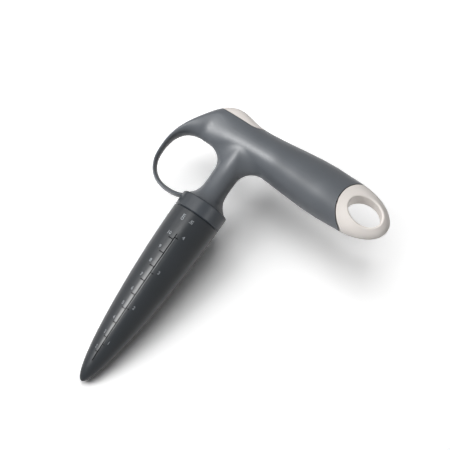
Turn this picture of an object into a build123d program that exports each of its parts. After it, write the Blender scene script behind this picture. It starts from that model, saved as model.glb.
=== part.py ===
"""A hand dibber: a hollow pointed spike on a T-shaped handle with a finger ring and a hanging eye.

It lies on its side, as it does on a table: +Z is up, square to the tool's plane of symmetry,
+Y runs along the spike from its point to the handle, and +X along the handle to the eye.
"""

import os
from math import atan2, cos, degrees, radians, sin

from build123d import *

# Driving dimensions in millimetres.
# Reaches are measured sideways from the spike's axis and rises upwards from the top of the collar.

# Spike: a long blunt ogive, hollow, with a socket at the top and a ribbed screw boss inside.
spike_length = 120.4
spike_diameter = 31.6
point_fullness = 8.4
shoulder_fullness = 53.4
socket_wall = 3.0
socket_depth = 18.0
socket_shoulder = 1.4
point_thickness = 12.0
boss_diameter = 11.0
rib_thickness = 2.0
seam_bevel = 0.6

# Collar and spigot at the foot of the handle core.
collar_height = 10.0
collar_rounding = 1.2
spigot_lead = 0.8
spigot_clearance = 0.1
spigot_end_room = 0.3

# Neck between collar and handle, drawn in to a waist that passes between two fingers.
neck_foot_inset = 2.2
neck_waist_rise = 13.0
neck_waist_width = 15.8
neck_waist_depth = 17.0
neck_top_width = 20.0
neck_top_depth = 21.7
neck_offset = -0.45
flare_power = 2.5
neck_fillet = 12.0

# Handle, given at the stations where its girth changes; lifts are above its own axis.
handle_rise = 47.15
handle_end_reach = 101.5
nose_reach = -14.3
nose_height = 29.5
nose_width = 19.8
nose_lift = 0.8
saddle_reach = 2.7
saddle_height = 25.8
saddle_land = 1.3
shoulder_reach = 19.5
shoulder_width = 28.8
swell_setback = 15.0
swell_height = 33.5
swell_width = 29.0
swell_lift = 1.0
tail_height = 32.8
tail_width = 24.8
tail_lift = 1.4

# Finger ring: a thin strap round a squarish oval hole, thickening into the nose of the handle.
finger_hole_width = 33.5
finger_hole_power = 2.35
strap_drop = 3.65
strap_thickness = 2.8
strap_width = 8.5
horn_depth = 25.0
horn_width = 16.5
horn_power = 4.2
horn_end_angle = 203.0
strap_level_angle = 185.0
outer_share = 0.3
strap_root_depth = 3.0
strap_root_height = 7.0
strap_root_width = 9.4

# Hanging eye and the end cap round it, held in the core by a split tongue with barbs.
eye_length = 22.4
eye_height = 16.3
eye_wall = 6.4
eye_lift = 2.1
eye_rounding = 1.0
cap_gap = 0.7
tongue_length = 18.0
tongue_height = 9.0
tongue_width = 8.0
tongue_slot = 3.0
barb_length = 3.0
barb_height = 0.8
barb_lead = 0.6
tongue_clearance = 0.15
tongue_end_room = 0.3

# Core beam inside the handle, and the skin of the grip over it.
grip_skin = 2.0
beam_cover = 4.4
beam_side_cover = 2.5
beam_nose_reach = -20.3
beam_end_wall = 2.4

# Thumb pad on top of the nose, standing on a pedestal of the core with two pegs.
pad_stand = 0.4
pad_bend_reach = -4.3
pad_top_rise = 60.2
pad_cover = 1.0
pad_gap = 0.3
pedestal_length = 15.0
pedestal_width = 9.5
peg_diameter = 4.0
peg_length = 6.0
peg_spacing = 9.0
peg_clearance = 0.05
peg_end_room = 0.4

# Screw down the neck, which ties the spike to the handle.
screw_diameter = 4.0
screw_length = 70.0
screw_engagement = 16.0
screw_point = 3.0
screw_head_diameter = 7.0
screw_head_height = 2.6
screw_recess_length = 4.0
screw_recess_width = 1.0
screw_recess_depth = 1.4
screw_hole_room = 0.3
screw_bite_room = 0.05
screw_well_room = 0.2
pilot_end_room = 3.0

# Worked out from the driving dimensions.
spike_radius = spike_diameter / 2
socket_radius = spike_radius - socket_wall
socket_floor = spike_length - socket_depth
cavity_radius = socket_radius - socket_shoulder
spigot_radius = socket_radius - spigot_clearance
spigot_end = socket_floor + spigot_end_room
collar_top = spike_length + collar_height
handle_level = collar_top + handle_rise
nose_level = handle_level + nose_lift
eye_level = handle_level + eye_lift
swell_level = handle_level + swell_lift
tail_level = handle_level + tail_lift
handle_top = swell_level + swell_height / 2
neck_foot_radius = spike_radius - neck_foot_inset
neck_waist_level = collar_top + neck_waist_rise
strap_level = collar_top - strap_drop
saddle_width = neck_top_depth + 2 * saddle_land
finger_hole_length = nose_level - nose_height / 2 - strap_level
finger_hole_level = strap_level + finger_hole_length / 2
finger_hole_reach = neck_offset - neck_waist_width / 2 - finger_hole_width / 2
ring_reach = finger_hole_reach - finger_hole_width / 2 - strap_thickness
cap_radius = eye_length / 2 + eye_wall
eye_reach = handle_end_reach - cap_radius
tail_reach = eye_reach - eye_length / 2
swell_reach = tail_reach - swell_setback
beam_end_reach = eye_reach - cap_radius - cap_gap - beam_end_wall
beam_half_height = saddle_height / 2 - beam_cover
beam_half_width = nose_width / 2 - beam_side_cover
pad_level = handle_level + beam_half_height + pad_stand
pedestal_reach = pad_bend_reach - pedestal_length / 2
screw_tip = socket_floor - screw_engagement
screw_seat = screw_tip + screw_length
screw_well_radius = screw_head_diameter / 2 + screw_well_room
tongue_root_reach = tail_reach - eye_wall / 2
middle_x = (ring_reach + handle_end_reach) / 2
middle_y = handle_top / 2


def at(reach, height):
    """A point of the tool in the part's frame, whose origin is under the middle of the tool."""
    return Vector(reach - middle_x, height - middle_y, spike_radius)


tool = Plane(origin=at(0, 0), x_dir=(1, 0, 0), z_dir=(0, 0, 1))
tongue_plane = Plane(origin=at(tongue_root_reach, handle_level), x_dir=(-1, 0, 0), z_dir=(0, 0, 1))
beam_plane = Plane(origin=at(beam_nose_reach, handle_level), x_dir=(0, 1, 0), z_dir=(1, 0, 0))
spike_axis = Axis(at(0, 0), (0, 1, 0))


def level(height, reach=0.0):
    """A plane square to the spike's axis."""
    return Plane(origin=at(reach, height), x_dir=(1, 0, 0), z_dir=(0, 1, 0))


def egg(plane, inner, outer, width):
    """A section whose widest line divides its thickness into an inner and an outer half ellipse."""
    with BuildSketch(plane) as section:
        with BuildLine():
            EllipticalCenterArc((0, 0), outer, width / 2, -90, arc_size=180)
            EllipticalCenterArc((0, 0), inner, width / 2, 90, arc_size=180)
        make_face()
    return section.sketch


def finger_hole_radius(angle):
    """Distance from the finger hole's centre to its edge: a superellipse."""
    across = abs(cos(radians(angle))) * 2 / finger_hole_width
    along = abs(sin(radians(angle))) * 2 / finger_hole_length
    return (across**finger_hole_power + along**finger_hole_power) ** (-1 / finger_hole_power)


def taper(end, angle):
    """1 at the top of the finger hole, falling to 0 at the end angle and staying there."""
    return max(0.0, (end - angle) / (end - 90))


def across_tail(angle):
    """A section of the handle's rounded end, which closes as an ellipsoid."""
    reach = tail_reach + (handle_end_reach - tail_reach) * sin(radians(angle))
    shrink = cos(radians(angle))
    plane = Plane(origin=at(reach, tail_level), x_dir=(0, 1, 0), z_dir=(-1, 0, 0))
    return egg(plane, tail_height / 2 * shrink, tail_height / 2 * shrink, tail_width * shrink)


def between(stations, reach):
    """The stations on either side of a reach, and the share of the way from one to the other."""
    near, far = next(pair for pair in zip(stations, stations[1:]) if reach <= pair[1][0])
    return near, far, (reach - near[0]) / (far[0] - near[0])


def across_handle(reach):
    """A section of the handle square to its length: eased in height, and straight in its taper."""
    near, far, share = between(height_stations, reach)
    ease = share * share * (3 - 2 * share)
    centre, height = (n + (f - n) * ease for n, f in zip(near[1:], far[1:]))
    near, far, share = between(width_stations, reach)
    width = near[1] + (far[1] - near[1]) * share
    plane = Plane(origin=at(reach, centre), x_dir=(0, 1, 0), z_dir=(-1, 0, 0))
    return egg(plane, height / 2, height / 2, width)


def across_ring(angle):
    """A section of the finger ring, on a plane through the hole's centre."""
    outward = Vector(cos(radians(angle)), sin(radians(angle)), 0)
    onward = Vector(-sin(radians(angle)), cos(radians(angle)), 0)
    thickness = strap_thickness + (horn_depth - strap_thickness) * taper(horn_end_angle, angle) ** horn_power
    width = strap_width + (horn_width - strap_width) * taper(strap_level_angle, angle)
    inner = thickness * (1 - outer_share)
    ridge = at(finger_hole_reach, finger_hole_level) + outward * (finger_hole_radius(angle) + inner)
    return egg(Plane(origin=ridge, x_dir=outward, z_dir=onward), inner, thickness - inner, width)


def across_neck(height, inset):
    """A section of the neck, flared to the collar below its waist and to the handle above it."""
    if height < neck_waist_level:
        share = (neck_waist_level - height) / (neck_waist_level - collar_top)
        end_width = neck_foot_radius * 2
        end_depth = neck_foot_radius * 2
        offset = neck_offset * (1 - share)
    else:
        share = (height - neck_waist_level) / (handle_level - neck_waist_level)
        end_width = neck_top_width
        end_depth = neck_top_depth
        offset = neck_offset
    width = neck_waist_width + (end_width - neck_waist_width) * share**flare_power
    depth = neck_waist_depth + (end_depth - neck_waist_depth) * share**flare_power
    with BuildSketch(level(height, offset)) as section:
        Ellipse(width / 2 - inset, depth / 2 - inset)
    return section.sketch


def cap_zone(gap):
    """The region of the end cap: everything past the eye, with a round front edge about the eye."""
    with BuildSketch(tool) as zone:
        with Locations((eye_reach, eye_level)):
            Circle(cap_radius + gap)
            Rectangle(
                cap_radius + eye_length, 2 * (cap_radius + gap), align=(Align.MIN, Align.CENTER)
            )
    return zone.sketch


def pad_zone(gap):
    """The region of the thumb pad: above a level line that sweeps up to the top of the saddle."""
    top = handle_top + pad_stand
    with BuildSketch(tool) as zone:
        with BuildLine():
            start = (ring_reach, pad_level)
            bend = (pad_bend_reach, pad_level)
            end = (screw_well_radius + pad_cover, collar_top + pad_top_rise)
            Line(start, bend)
            TangentArc(bend, end, tangent=(1, 0))
            Polyline(end, (end[0], top), (start[0], top), start)
        make_face()
        offset(amount=gap)
    return zone.sketch


height_stations = [
    (nose_reach, nose_level, nose_height),
    (saddle_reach, handle_level, saddle_height),
    (swell_reach, swell_level, swell_height),
    (tail_reach, tail_level, tail_height),
]
width_stations = [
    (nose_reach, nose_width),
    (saddle_reach, saddle_width),
    (shoulder_reach, shoulder_width),
    (swell_reach, swell_width),
    (tail_reach, tail_width),
]
tail_angles = [88, 79, 67, 52, 36, 18]
handle_steps = 10
handle_reaches = [tail_reach + (nose_reach - tail_reach) * i / handle_steps for i in range(handle_steps + 1)]
root_across = strap_root_depth / 2 - spike_radius - finger_hole_reach
root_down = collar_top - strap_root_height / 2 - finger_hole_level
ring_end_angle = 360 + degrees(atan2(root_down, root_across))
ring_steps = 16
ring_angles = [90 + (ring_end_angle - 90) * i / ring_steps for i in range(ring_steps + 1)]
neck_steps = 8
neck_levels = [collar_top + handle_rise * i / neck_steps for i in range(neck_steps + 1)]

# Outer form of handle, nose and finger ring in one sweep, shared by grip, thumb pad and end cap.
form_sections = [across_tail(angle) for angle in tail_angles]
form_sections += [across_handle(reach) for reach in handle_reaches]
form_sections += [across_ring(angle) for angle in ring_angles]
with BuildPart() as form:
    loft(form_sections)

# Spike: turned shell with a stepped socket, hollow but for a screw boss and two crossed ribs.
with BuildPart() as spike_hollow:
    with BuildSketch(tool):
        with BuildLine():
            cavity_length = spike_length - point_thickness
            EllipticalCenterArc((0, spike_length), cavity_radius, cavity_length, -90, arc_size=90)
            Polyline((cavity_radius, spike_length), (0, spike_length), (0, point_thickness))
        make_face()
    revolve(axis=spike_axis)
    with BuildSketch(level(socket_floor)):
        Circle(boss_diameter / 2)
        Rectangle(spike_diameter, rib_thickness)
        Rectangle(rib_thickness, spike_diameter)
    extrude(amount=-socket_floor, mode=Mode.SUBTRACT)

with BuildPart() as spike:
    with BuildSketch(tool):
        with BuildLine():
            Bezier(
                (0, 0),
                (point_fullness, 0),
                (spike_radius, spike_length - shoulder_fullness),
                (spike_radius, spike_length),
            )
            Polyline((spike_radius, spike_length), (0, spike_length), (0, 0))
        make_face()
    revolve(axis=spike_axis)
    chamfer(spike.edges().filter_by(GeomType.CIRCLE), seam_bevel)
    with BuildSketch(level(spike_length)):
        Circle(socket_radius)
    extrude(amount=-socket_depth, mode=Mode.SUBTRACT)
    add(spike_hollow.part, mode=Mode.SUBTRACT)
    with BuildSketch(level(socket_floor)):
        Circle(screw_diameter / 2 + screw_bite_room)
    extrude(amount=-screw_engagement - pilot_end_room, mode=Mode.SUBTRACT)
spike.part.label = "spike"

# Collar and spigot, with the root of the finger strap let into the collar's side.
with BuildPart() as collar:
    with BuildSketch(level(spigot_end)):
        Circle(spigot_radius)
    extrude(amount=spike_length - spigot_end)
    chamfer(collar.edges().filter_by(GeomType.CIRCLE).sort_by(Axis.Y)[0], spigot_lead)
    with BuildSketch(level(spike_length)):
        Circle(spike_radius)
    extrude(amount=collar_height)
    rims = collar.edges().filter_by(GeomType.CIRCLE).sort_by(SortBy.RADIUS)[-2:].sort_by(Axis.Y)
    chamfer(rims[0], seam_bevel)
    fillet(collar.edges().filter_by(GeomType.CIRCLE).sort_by(Axis.Y)[-1], collar_rounding)

with BuildPart() as strap_root:
    add(collar.part)
    with BuildSketch(level(collar_top, -spike_radius)):
        Rectangle(2 * strap_root_depth, strap_root_width)
    extrude(amount=-strap_root_height, mode=Mode.INTERSECT)

# Handle core: collar, neck and beam, with a pedestal for the thumb pad.
with BuildPart() as core_blank:
    add(collar.part)
    add(strap_root.part, mode=Mode.SUBTRACT)
    loft([across_neck(height, grip_skin) for height in neck_levels])
    with BuildSketch(beam_plane):
        Ellipse(beam_half_height, beam_half_width)
    extrude(amount=beam_end_reach - beam_nose_reach)
    with BuildSketch(level(handle_level, pedestal_reach)):
        Rectangle(pedestal_length, pedestal_width)
    extrude(amount=pad_level - handle_level)

with BuildPart() as handle_core:
    add(core_blank.part)
    with BuildSketch(level(spigot_end)):
        Circle(screw_diameter / 2 + screw_hole_room)
    extrude(amount=screw_seat - spigot_end, mode=Mode.SUBTRACT)
    with BuildSketch(level(screw_seat)):
        Circle(screw_well_radius)
    extrude(amount=handle_top - screw_seat, mode=Mode.SUBTRACT)
    with BuildSketch(level(pad_level, pedestal_reach)):
        with GridLocations(peg_spacing, 0, 2, 1):
            Circle(peg_diameter / 2 + peg_clearance)
    extrude(amount=-peg_length - peg_end_room, mode=Mode.SUBTRACT)
    with BuildSketch(tongue_plane):
        Rectangle(
            tongue_length + tongue_end_room,
            tongue_height + 2 * tongue_clearance,
            align=(Align.MIN, Align.CENTER),
        )
        with Locations((tongue_length + tongue_end_room, 0)):
            Rectangle(
                barb_length + tongue_end_room + tongue_clearance,
                tongue_height + 2 * (barb_height + tongue_clearance),
                align=(Align.MAX, Align.CENTER),
            )
    extrude(amount=tongue_width / 2 + tongue_clearance, both=True, mode=Mode.SUBTRACT)
handle_core.part.label = "handle_core"

# Grip: soft skin over neck and beam, with the nose and the finger ring in one piece.
with BuildPart() as grip:
    add(form.part)
    loft([across_neck(height, 0) for height in neck_levels])
    waist_y = at(0, neck_waist_level).Y
    junction = [e for e in grip.edges(Select.NEW) if min(v.Y for v in e.vertices()) > waist_y]
    fillet(junction, neck_fillet)
    add(strap_root.part)
    extrude(cap_zone(cap_gap), amount=spike_radius, both=True, mode=Mode.SUBTRACT)
    extrude(pad_zone(pad_gap), amount=spike_radius, both=True, mode=Mode.SUBTRACT)
    add(core_blank.part, mode=Mode.SUBTRACT)
    with BuildSketch(level(handle_level)):
        Circle(screw_well_radius)
    extrude(amount=handle_top - handle_level, mode=Mode.SUBTRACT)
    with BuildSketch(tongue_plane):
        Rectangle(tongue_length, tongue_height + 2 * tongue_clearance, align=(Align.MIN, Align.CENTER))
    extrude(amount=tongue_width / 2 + tongue_clearance, both=True, mode=Mode.SUBTRACT)
grip.part.label = "grip"

# Thumb pad: the crown of the nose, on two pegs.
with BuildPart() as thumb_pad:
    add(form.part)
    extrude(pad_zone(0), amount=spike_radius, both=True, mode=Mode.INTERSECT)
    with BuildSketch(level(pad_level, pedestal_reach)):
        with GridLocations(peg_spacing, 0, 2, 1):
            Circle(peg_diameter / 2)
    extrude(amount=-peg_length)
thumb_pad.part.label = "thumb_pad"

# End cap: the handle's rounded end with the hanging eye and the split tongue.
with BuildPart() as end_cap:
    add(form.part)
    extrude(cap_zone(0), amount=spike_radius, both=True, mode=Mode.INTERSECT)
    with BuildSketch(tool):
        with Locations((eye_reach, eye_level)):
            Ellipse(eye_length / 2, eye_height / 2)
    extrude(amount=spike_radius, both=True, mode=Mode.SUBTRACT)
    eye_rims = end_cap.edges(Select.NEW).filter_by(GeomType.LINE, reverse=True)
    fillet(eye_rims, eye_rounding)
    with BuildSketch(tongue_plane):
        with BuildLine():
            Polyline(
                (0, tongue_slot / 2),
                (tongue_length, tongue_slot / 2),
                (tongue_length, tongue_height / 2 - barb_lead),
                (tongue_length - barb_length, tongue_height / 2 + barb_height),
                (tongue_length - barb_length, tongue_height / 2),
                (0, tongue_height / 2),
                close=True,
            )
        make_face()
        mirror(about=Plane.XZ)
    extrude(amount=tongue_width / 2, both=True)
end_cap.part.label = "end_cap"

# Screw: pan head with a cross recess, down the neck into the spike's boss.
with BuildPart() as spike_screw:
    with BuildSketch(tool):
        with BuildLine():
            Polyline(
                (0, screw_tip),
                (screw_diameter / 2, screw_tip + screw_point),
                (screw_diameter / 2, screw_seat),
                (screw_head_diameter / 2, screw_seat),
                (screw_head_diameter / 2, screw_seat + screw_head_height),
                (0, screw_seat + screw_head_height),
                close=True,
            )
        make_face()
    revolve(axis=spike_axis)
    fillet(spike_screw.edges().filter_by(GeomType.CIRCLE).sort_by(Axis.Y)[-1], screw_head_height / 2)
    with BuildSketch(level(screw_seat + screw_head_height)):
        Rectangle(screw_recess_length, screw_recess_width)
        Rectangle(screw_recess_width, screw_recess_length)
    extrude(amount=-screw_recess_depth, mode=Mode.SUBTRACT)
spike_screw.part.label = "spike_screw"

os.makedirs("parts", exist_ok=True)
for piece in (spike, handle_core, grip, thumb_pad, end_cap, spike_screw):
    export_step(piece.part, f"parts/{piece.part.label}.step")
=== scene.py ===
"""A hand dibber lying on a white table, dressed around its CAD frame. Lengths are in metres."""

from math import cos, pi, radians, sin

import bmesh
import bpy
from mathutils import Matrix, Vector
from mathutils.bvhtree import BVHTree


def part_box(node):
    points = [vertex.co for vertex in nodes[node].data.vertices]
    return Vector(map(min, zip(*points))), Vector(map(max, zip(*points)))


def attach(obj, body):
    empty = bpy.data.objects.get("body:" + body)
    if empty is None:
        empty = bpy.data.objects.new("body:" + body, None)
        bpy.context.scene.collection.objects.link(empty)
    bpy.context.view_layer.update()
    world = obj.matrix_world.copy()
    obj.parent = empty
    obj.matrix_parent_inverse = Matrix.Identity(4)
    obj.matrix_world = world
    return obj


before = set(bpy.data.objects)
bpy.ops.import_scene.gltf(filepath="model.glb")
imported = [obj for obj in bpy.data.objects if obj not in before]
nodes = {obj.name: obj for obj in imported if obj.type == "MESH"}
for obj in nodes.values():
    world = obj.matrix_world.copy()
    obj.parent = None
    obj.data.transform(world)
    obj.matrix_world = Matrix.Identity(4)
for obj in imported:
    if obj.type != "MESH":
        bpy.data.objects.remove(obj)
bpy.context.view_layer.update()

MM = 0.001
CENTIMETRE = 10 * MM
INCH = 25.4 * MM

# View of the photograph: where the lens points, from how far, and how it is turned.
view_target = Vector((-0.01124, 0.0291, 0.0158))
view_distance = 0.5843
view_azimuth = radians(47.42)
view_elevation = radians(78.1)
view_roll = radians(-13.0)
lens_mm = 76.0
sensor_mm = 36.0

# Table: it touches the spike near its point and falls away under the handle. White is what the
# camera and gloss see, bounce is the share of light that it throws back at the tool.
floor_size = 1.2
floor_reach = 0.4
floor_slope = 0.22
floor_cross_slope = 0.03
floor_drop = 4.0 * MM
floor_white = 1.4
floor_bounce = 0.4
floor_fade_start = 0.2
floor_fade_end = 0.42

# Lamps: for each, the direction that it stands in, how far off, how large, and its watts.
# The shadowless ones fill in light where a piece would shade itself.
lamp_table = {
    "key": (Vector((-0.439, -0.264, 0.859)), 0.9, 0.34, 7.4),
    "top": (Vector((-0.567, -0.08, 0.815)), 1.1, 1.2, 6.9),
    "side": (Vector((0.716, -0.117, 0.69)), 0.9, 0.36, 2.4),
    "front": (Vector((0.9, -0.4, 0.1)), 0.9, 0.5, 1.6),
    "left": (Vector((-1.0, 0.0, 0.3)), 1.0, 0.8, 1.1),
    "back": (Vector((0.0, 1.0, 0.35)), 1.0, 0.8, 2.2),
    "low": (Vector((-0.64, -0.175, 0.748)), 1.8, 0.9, 15.8),
    "high": (Vector((-0.29, 0.402, 0.869)), 2.2, 1.5, 26.5),
}
shadowless = ("front", "left")
surround_strength = 0.08

# Depth scale on the spike: where its line runs and what stands on either side of it.
scale_angle = radians(-4.2)
scale_zero = -0.1 * MM
scale_start = 14.0 * MM
scale_end = 104.0 * MM
scale_relief = 0.16 * MM
scale_sink = 0.1 * MM
line_width = 0.8 * MM
line_step = 1.0 * MM
mark_crown = 0.6
mark_width = 0.72 * MM
mark_step = 0.4 * MM
centimetre_mark = 3.5 * MM
inch_mark = 2.4 * MM
bead_offset = 0.9 * MM
bead_width = 1.6 * MM
bead_crown = 0.1
bead_relief = 0.075 * MM
bead_sink = 0.04 * MM
number_size = 3.0 * MM
number_gap = 4.8 * MM
number_rise = 2.4 * MM
unit_size = 3.6 * MM
unit_depth = 114.6 * MM
unit_gap = 3.2 * MM
letter_weight = 0.06 * MM
letter_curve_steps = 3
centimetres = range(2, 11)
inches = range(1, 5)

# Easing of the grip's shading: a fuller tail beside the end cap, and a neck with a higher waist.
# The tail rises by its fill, in 1 / m, times the square of the distance past its start.
tail_start = 20.0 * MM
tail_fill = 4.2
neck_low = 36.4 * MM
neck_high = 74.4 * MM
neck_waist = 0.75 * MM
neck_reach = 10.0 * MM
neck_fade = 20.0 * MM

# Levels of the noise between which a finish passes from its one limit to the other.
noise_low = 0.3
noise_high = 0.7
no_stretch = (1.0, 1.0, 1.0)

spike_low, spike_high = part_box("spike")
spike_centre = (spike_low + spike_high) / 2
spike_radius = (spike_high.x - spike_low.x) / 2


# Shader building.
def new_material(name):
    material = bpy.data.materials.new(name)
    material.use_nodes = True
    shader = material.node_tree.nodes["Principled BSDF"]
    return material, material.node_tree, shader


def set_sockets(node, values):
    """Plain numbers and colours, set straight on a node's own sockets."""
    for name, value in values.items():
        node.inputs[name].default_value = value


def add_node(tree, kind, inputs=None, **settings):
    node = tree.nodes.new(kind)
    for name, value in settings.items():
        setattr(node, name, value)
    set_sockets(node, inputs or {})
    return node


def grain(tree, scale, detail=2.0, stretch=no_stretch):
    """Noise in the object's own space, with a scale in waves to the metre."""
    place = add_node(tree, "ShaderNodeTexCoord")
    mapping = add_node(tree, "ShaderNodeMapping", {"Scale": stretch})
    noise = add_node(tree, "ShaderNodeTexNoise", {"Scale": scale, "Detail": detail})
    tree.links.new(place.outputs["Object"], mapping.inputs["Vector"])
    tree.links.new(mapping.outputs["Vector"], noise.inputs["Vector"])
    return noise.outputs["Fac"]


def vary_colour(tree, shader, low, high, scale):
    """Base colour that wanders between two near shades."""
    ramp = add_node(tree, "ShaderNodeValToRGB")
    ramp.color_ramp.elements[0].position = noise_low
    ramp.color_ramp.elements[1].position = noise_high
    ramp.color_ramp.elements[0].color = (*low, 1.0)
    ramp.color_ramp.elements[1].color = (*high, 1.0)
    tree.links.new(grain(tree, scale, detail=4.0), ramp.inputs["Fac"])
    tree.links.new(ramp.outputs["Color"], shader.inputs["Base Color"])


def vary_roughness(tree, shader, low, high, scale, stretch=no_stretch):
    """Roughness that wanders between two limits, along the stretch if there is one."""
    limits = {"From Min": noise_low, "From Max": noise_high, "To Min": low, "To Max": high}
    span = add_node(tree, "ShaderNodeMapRange", limits)
    tree.links.new(grain(tree, scale, detail=3.0, stretch=stretch), span.inputs["Value"])
    tree.links.new(span.outputs["Result"], shader.inputs["Roughness"])


def add_bump(tree, shader, scale, depth, strength, detail=2.0):
    bump = add_node(tree, "ShaderNodeBump", {"Strength": strength, "Distance": depth})
    tree.links.new(grain(tree, scale, detail), bump.inputs["Height"])
    tree.links.new(bump.outputs["Normal"], shader.inputs["Normal"])
    return bump


def add_math(tree, operation, first, second=0.0):
    """One step of arithmetic, on sockets or plain numbers."""
    node = add_node(tree, "ShaderNodeMath", operation=operation)
    for socket, value in zip(node.inputs, (first, second)):
        if isinstance(value, float):
            socket.default_value = value
        else:
            tree.links.new(value, socket)
    return node.outputs["Value"]


def background_ray(tree):
    """1 for rays that show the background: those of the camera, of gloss and of clear pieces."""
    path = add_node(tree, "ShaderNodeLightPath")
    seen = add_math(tree, "MAXIMUM", path.outputs["Is Camera Ray"], path.outputs["Is Glossy Ray"])
    return add_math(tree, "MAXIMUM", seen, path.outputs["Is Transmission Ray"])


def ease_form(tree, bump):
    """Low relief in metres, under the grain, that eases how the grip's tail and neck take light."""
    place = add_node(tree, "ShaderNodeTexCoord")
    parts = add_node(tree, "ShaderNodeSeparateXYZ")
    tree.links.new(place.outputs["Object"], parts.inputs["Vector"])
    past = add_math(tree, "MAXIMUM", add_math(tree, "SUBTRACT", parts.outputs["X"], tail_start))
    tail = add_math(tree, "MULTIPLY", add_math(tree, "MULTIPLY", past, past), tail_fill)
    turn = {"From Min": neck_low, "From Max": neck_high, "To Max": 2 * pi}
    wave = add_node(tree, "ShaderNodeMapRange", turn)
    tree.links.new(parts.outputs["Y"], wave.inputs["Value"])
    hollow = add_math(tree, "SUBTRACT", add_math(tree, "COSINE", wave.outputs["Result"]), 1.0)
    away = add_math(tree, "ABSOLUTE", add_math(tree, "SUBTRACT", parts.outputs["X"], spike_centre.x))
    fade = {"From Min": neck_reach, "From Max": neck_fade, "To Min": neck_waist, "To Max": 0.0}
    share = add_node(tree, "ShaderNodeMapRange", fade, interpolation_type="SMOOTHSTEP")
    tree.links.new(away, share.inputs["Value"])
    neck = add_math(tree, "MULTIPLY", hollow, share.outputs["Result"])
    form = add_node(tree, "ShaderNodeBump", {"Strength": 1.0, "Distance": 1.0})
    tree.links.new(add_math(tree, "ADD", tail, neck), form.inputs["Height"])
    tree.links.new(form.outputs["Normal"], bump.inputs["Normal"])


# Finishes. Scales are in waves to the metre.
def spike_plastic():
    """Dark slate plastic with a satin gloss and faint lengthwise rub marks."""
    material, tree, shader = new_material("spike_plastic")
    vary_colour(tree, shader, low=(0.008, 0.011, 0.014), high=(0.011, 0.014, 0.018), scale=90.0)
    vary_roughness(tree, shader, low=0.28, high=0.3, scale=500.0, stretch=(1.0, 0.08, 1.0))
    add_bump(tree, shader, scale=2500.0, depth=0.02 * MM, strength=0.12)
    set_sockets(shader, {"IOR": 1.42})
    return material


def core_plastic():
    """A slate plastic like the spike's on the collar and the hidden beam, without the rub marks."""
    material, tree, shader = new_material("core_plastic")
    vary_colour(tree, shader, low=(0.022, 0.027, 0.033), high=(0.027, 0.032, 0.039), scale=90.0)
    vary_roughness(tree, shader, low=0.28, high=0.32, scale=400.0)
    add_bump(tree, shader, scale=2500.0, depth=0.02 * MM, strength=0.1)
    set_sockets(shader, {"IOR": 1.42})
    return material


def scale_dark():
    """Matt, darker finish of the scale's line and marks, which breaks the spike's shine; the darker
    colour is painted shade along the marks' flanks.
    """
    material, tree, shader = new_material("scale_dark")
    vary_colour(tree, shader, low=(0.004, 0.005, 0.006), high=(0.006, 0.007, 0.008), scale=400.0)
    set_sockets(shader, {"Roughness": 0.8, "IOR": 1.1})
    return material


def scale_light():
    """Paler colour of the scale's numbers and units: a painted highlight for the light their raised
    edges catch, varying at random from spot to spot.
    """
    material, tree, shader = new_material("scale_light")
    vary_colour(tree, shader, low=(0.13, 0.145, 0.16), high=(0.24, 0.255, 0.27), scale=900.0)
    set_sockets(shader, {"Roughness": 0.45})
    return material


def grip_rubber():
    """Slate soft-touch elastomer: matt, with a fine skin grain and a faint bloom when grazed."""
    material, tree, shader = new_material("grip_rubber")
    vary_colour(tree, shader, low=(0.075, 0.083, 0.094), high=(0.084, 0.093, 0.105), scale=70.0)
    vary_roughness(tree, shader, low=0.36, high=0.42, scale=900.0)
    skin_grain = add_bump(tree, shader, scale=5200.0, depth=0.03 * MM, strength=0.2, detail=3.0)
    ease_form(tree, skin_grain)
    set_sockets(shader, {"IOR": 1.52, "Sheen Weight": 0.08, "Sheen Roughness": 0.4})
    return material


def pale_plastic():
    """Warm light-grey plastic, smooth and hardly glossy."""
    material, tree, shader = new_material("pale_plastic")
    vary_colour(tree, shader, low=(0.67, 0.628, 0.595), high=(0.71, 0.67, 0.637), scale=60.0)
    vary_roughness(tree, shader, low=0.4, high=0.48, scale=700.0)
    add_bump(tree, shader, scale=4000.0, depth=0.02 * MM, strength=0.1)
    set_sockets(shader, {"IOR": 1.48})
    return material


def screw_steel():
    """Zinc-plated steel with fine turning marks round the screw's axis."""
    material, tree, shader = new_material("screw_steel")
    vary_colour(tree, shader, low=(0.52, 0.52, 0.53), high=(0.6, 0.6, 0.6), scale=300.0)
    vary_roughness(tree, shader, low=0.24, high=0.38, scale=1500.0, stretch=(0.1, 1.0, 0.1))
    add_bump(tree, shader, scale=3000.0, depth=0.02 * MM, strength=0.15)
    set_sockets(shader, {"Metallic": 1.0})
    return material


# Depth scale, laid on the spike's own surface.
def spike_skin():
    shape = bmesh.new()
    shape.from_mesh(nodes["spike"].data)
    tree = BVHTree.FromBMesh(shape)
    shape.free()
    return tree


def on_spike(skin, across, depth):
    """Point and normal on the spike: a distance round from the line, and a depth from its zero."""
    angle = scale_angle + across / spike_radius
    outward = Vector((sin(angle), 0.0, cos(angle)))
    foot = Vector((spike_centre.x, spike_low.y + scale_zero + depth, spike_centre.z))
    outside = foot + outward * 2 * spike_radius
    point, normal, _, _ = skin.ray_cast(outside, -outward)
    return point, normal


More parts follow.
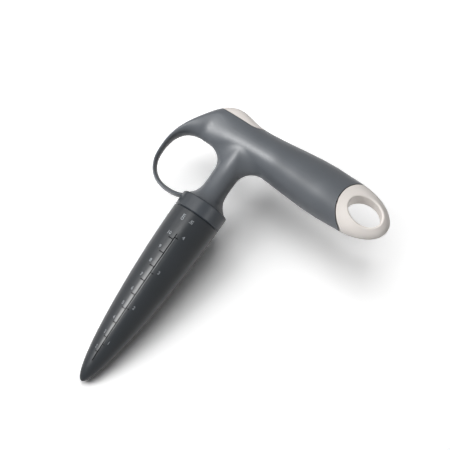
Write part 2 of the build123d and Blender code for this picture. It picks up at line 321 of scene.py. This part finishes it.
def add_ridge(shape, skin, path, width, crown, relief, sink):
    """A low ridge along a path of (across, depth) points; its crown is the share that is flat."""
    section = [(-0.5, -sink), (-crown / 2, relief), (crown / 2, relief), (0.5, -sink)]
    corners = len(section)
    rings = []
    for i, (across, depth) in enumerate(path):
        point, normal = on_spike(skin, across, depth)
        before = on_spike(skin, *path[max(i - 1, 0)])[0]
        after = on_spike(skin, *path[min(i + 1, len(path) - 1)])[0]
        side = normal.cross(after - before).normalized()
        rings.append([shape.verts.new(point + side * s * width + normal * h) for s, h in section])
    for near, far in zip(rings, rings[1:]):
        for i in range(corners):
            j = (i + 1) % corners
            shape.faces.new((near[i], near[j], far[j], far[i]))
    shape.faces.new(rings[0][::-1])
    shape.faces.new(rings[-1])


def steps(start, end, step):
    """Even steps from start to end, each about as long as the step."""
    count = max(1, round(abs(end - start) / step))
    return [start + (end - start) * i / count for i in range(count + 1)]


def finish_piece(shape, name, material):
    bmesh.ops.recalc_face_normals(shape, faces=shape.faces)
    mesh = bpy.data.meshes.new(name)
    shape.to_mesh(mesh)
    shape.free()
    piece = bpy.data.objects.new(name, mesh)
    bpy.context.scene.collection.objects.link(piece)
    mesh.materials.append(material)
    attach(piece, "root")
    return piece


def add_depth_marks(skin, material):
    """The scale's line, with a mark at each centimetre on its left and each inch on its right."""
    shape = bmesh.new()
    line = [(0.0, depth) for depth in steps(scale_start, scale_end, line_step)]
    add_ridge(shape, skin, line, line_width, mark_crown, scale_relief, scale_sink)
    marks = [(-centimetre_mark, count * CENTIMETRE) for count in centimetres]
    marks += [(inch_mark, count * INCH) for count in inches]
    for length, depth in marks:
        mark = [(across, depth) for across in steps(0.0, length, mark_step)]
        add_ridge(shape, skin, mark, mark_width, mark_crown, scale_relief, scale_sink)
    return finish_piece(shape, "depth_marks", material)


def add_scale_bead(skin, material):
    """A fine bead that runs beside the scale's line and catches the light."""
    shape = bmesh.new()
    path = [(bead_offset, depth) for depth in steps(scale_start, scale_end, line_step)]
    add_ridge(shape, skin, path, bead_width, bead_crown, bead_relief, bead_sink)
    return finish_piece(shape, "scale_bead", material)


def letter_shape(text, size):
    """Flat letters as a mesh, centred, thick enough to sink a little into what they stand on."""
    curve = bpy.data.curves.new("letters", "FONT")
    curve.body = text
    curve.size = size
    curve.align_x = "CENTER"
    curve.align_y = "CENTER"
    curve.extrude = (scale_relief + scale_sink) / 2
    curve.offset = letter_weight
    curve.resolution_u = letter_curve_steps
    holder = bpy.data.objects.new("letters", curve)
    mesh = bpy.data.meshes.new_from_object(holder)
    bpy.data.objects.remove(holder)
    bpy.data.curves.remove(curve)
    return mesh


def add_letters(shape, skin, text, size, across, depth, turned=False):
    """Letters wrapped round the spike, upright with the point down, or turned to read along it."""
    mesh = letter_shape(text, size)
    middle = (scale_relief - scale_sink) / 2
    first = len(shape.verts)
    shape.from_mesh(mesh)
    shape.verts.ensure_lookup_table()
    for vert in shape.verts[first:]:
        x, y, z = vert.co
        if turned:
            x, y = -y, x
        point, normal = on_spike(skin, across + x, depth + y)
        vert.co = point + normal * (middle + z)
    bpy.data.meshes.remove(mesh)


def add_scale_letters(skin, material):
    """The scale's numbers, and its units above them."""
    shape = bmesh.new()
    for count in centimetres:
        depth = count * CENTIMETRE + number_rise
        add_letters(shape, skin, str(count), number_size, -number_gap, depth)
    for count in inches:
        depth = count * INCH + number_rise
        add_letters(shape, skin, str(count), number_size, number_gap, depth)
    add_letters(shape, skin, "cm", unit_size, -unit_gap, unit_depth - scale_zero, turned=True)
    add_letters(shape, skin, "in", unit_size, unit_gap, unit_depth - scale_zero, turned=True)
    return finish_piece(shape, "scale_letters", material)


# Table, lamps, surroundings and camera.
def add_diffuse(tree, level):
    return add_node(tree, "ShaderNodeBsdfDiffuse", {"Color": (level, level, level, 1.0)})


def table_white():
    """White that fades into plain white far off, and throws only its bounce back at the tool."""
    material, tree, shader = new_material("table_white")
    tree.nodes.remove(shader)
    seen = add_diffuse(tree, floor_white)
    plain = add_diffuse(tree, floor_bounce)
    place = add_node(tree, "ShaderNodeNewGeometry")
    away = add_node(tree, "ShaderNodeVectorMath", {1: view_target}, operation="DISTANCE")
    limits = {"From Min": floor_fade_start, "From Max": floor_fade_end}
    fade = add_node(tree, "ShaderNodeMapRange", limits, interpolation_type="SMOOTHSTEP")
    white = add_node(tree, "ShaderNodeEmission")
    far = add_node(tree, "ShaderNodeMixShader")
    mix = add_node(tree, "ShaderNodeMixShader")
    tree.links.new(place.outputs["Position"], away.inputs[0])
    tree.links.new(away.outputs["Value"], fade.inputs["Value"])
    tree.links.new(fade.outputs["Result"], far.inputs["Fac"])
    tree.links.new(seen.outputs["BSDF"], far.inputs[1])
    tree.links.new(white.outputs["Emission"], far.inputs[2])
    tree.links.new(background_ray(tree), mix.inputs["Fac"])
    tree.links.new(plain.outputs["BSDF"], mix.inputs[1])
    tree.links.new(far.outputs["Shader"], mix.inputs[2])
    tree.links.new(mix.outputs["Shader"], tree.nodes["Material Output"].inputs["Surface"])
    return material


def add_floor():
    """A white table that keeps the tool's shadow near it."""
    bpy.ops.mesh.primitive_plane_add(size=floor_size)
    floor = bpy.context.object
    floor.name = "table"
    under_point = Vector((spike_centre.x, spike_low.y, spike_centre.z - floor_drop))
    along = Vector((0.0, 1.0, -floor_slope)).normalized()
    across = Vector((1.0, 0.0, -floor_cross_slope))
    upward = across.cross(along).normalized()
    turn = Matrix((along.cross(upward), along, upward)).transposed()
    floor.matrix_world = Matrix.Translation(under_point + along * floor_reach) @ turn.to_4x4()
    floor.data.materials.append(table_white())
    return floor


def add_softbox(name, direction, distance, size, watts):
    light = bpy.data.lights.new(name, "AREA")
    light.shape = "SQUARE"
    light.size = size
    light.energy = watts
    light.use_shadow = name not in shadowless
    lamp = bpy.data.objects.new(name, light)
    bpy.context.scene.collection.objects.link(lamp)
    lamp.location = view_target + direction.normalized() * distance
    lamp.rotation_euler = direction.to_track_quat("Z", "Y").to_euler()
    return lamp


def group(name, pieces):
    collection = bpy.data.collections.new(name)
    for piece in pieces:
        collection.objects.link(piece)
    return collection


def add_surroundings():
    """White where they are seen or mirrored, and dim as a light."""
    world = bpy.data.worlds.new("surroundings")
    world.use_nodes = True
    tree = world.node_tree
    background = tree.nodes["Background"]
    background.inputs["Color"].default_value = (1.0, 1.0, 1.0, 1.0)
    levels = {"To Min": surround_strength, "To Max": 1.0}
    strength = add_node(tree, "ShaderNodeMapRange", levels)
    tree.links.new(background_ray(tree), strength.inputs["Value"])
    tree.links.new(strength.outputs["Result"], background.inputs["Strength"])
    bpy.context.scene.world = world


def add_camera():
    lens = bpy.data.cameras.new("camera")
    lens.lens = lens_mm
    lens.sensor_width = sensor_mm
    camera = bpy.data.objects.new("camera", lens)
    bpy.context.scene.collection.objects.link(camera)
    swing = Matrix.Rotation(view_azimuth, 4, "Z")
    tip = Matrix.Rotation(pi / 2 - view_elevation, 4, "X")
    roll = Matrix.Rotation(view_roll, 4, "Z")
    back_off = Matrix.Translation((0, 0, view_distance))
    camera.matrix_world = Matrix.Translation(view_target) @ swing @ tip @ roll @ back_off
    bpy.context.scene.camera = camera


# Finish of the CAD pieces.
dark_spike = spike_plastic()
pale = pale_plastic()
finishes = {
    "spike": dark_spike,
    "handle_core": core_plastic(),
    "grip": grip_rubber(),
    "thumb_pad": pale,
    "end_cap": pale,
    "spike_screw": screw_steel(),
}
for node_name, finish in finishes.items():
    nodes[node_name].material_slots[0].material = finish

skin_of_spike = spike_skin()
# The scale's line and marks are painted darker for shade, and its numbers paler for a highlight.
scale_pieces = [
    add_depth_marks(skin_of_spike, scale_dark()),
    add_scale_bead(skin_of_spike, dark_spike),
    add_scale_letters(skin_of_spike, scale_light()),
]

# Each lamp lights only the pieces given here. Key, top and left light the whole tool. Side adds to
# the core, whose collar shows, front to the end cap, and back to the two pale pieces. The table has
# two of its own. The low one is blocked by the spike and the core alone, so that the table stays
# white above the handle and inside the ring.
table = add_floor()
tool_group = group("tool", [*nodes.values(), *scale_pieces])
table_group = group("table", [table])
receivers = {
    "key": tool_group,
    "top": tool_group,
    "side": group("collar", [nodes["handle_core"]]),
    "front": group("cap", [nodes["end_cap"]]),
    "left": tool_group,
    "back": group("trim", [nodes["thumb_pad"], nodes["end_cap"]]),
    "low": table_group,
    "high": table_group,
}
lamps = {name: add_softbox(name, *setting) for name, setting in lamp_table.items()}
for lamp_name, lamp in lamps.items():
    lamp.light_linking.receiver_collection = receivers[lamp_name]
low_blockers = group("low_blockers", [nodes["spike"], nodes["handle_core"]])
lamps["low"].light_linking.blocker_collection = low_blockers
add_surroundings()
add_camera()
bpy.context.scene.view_settings.view_transform = "Standard"
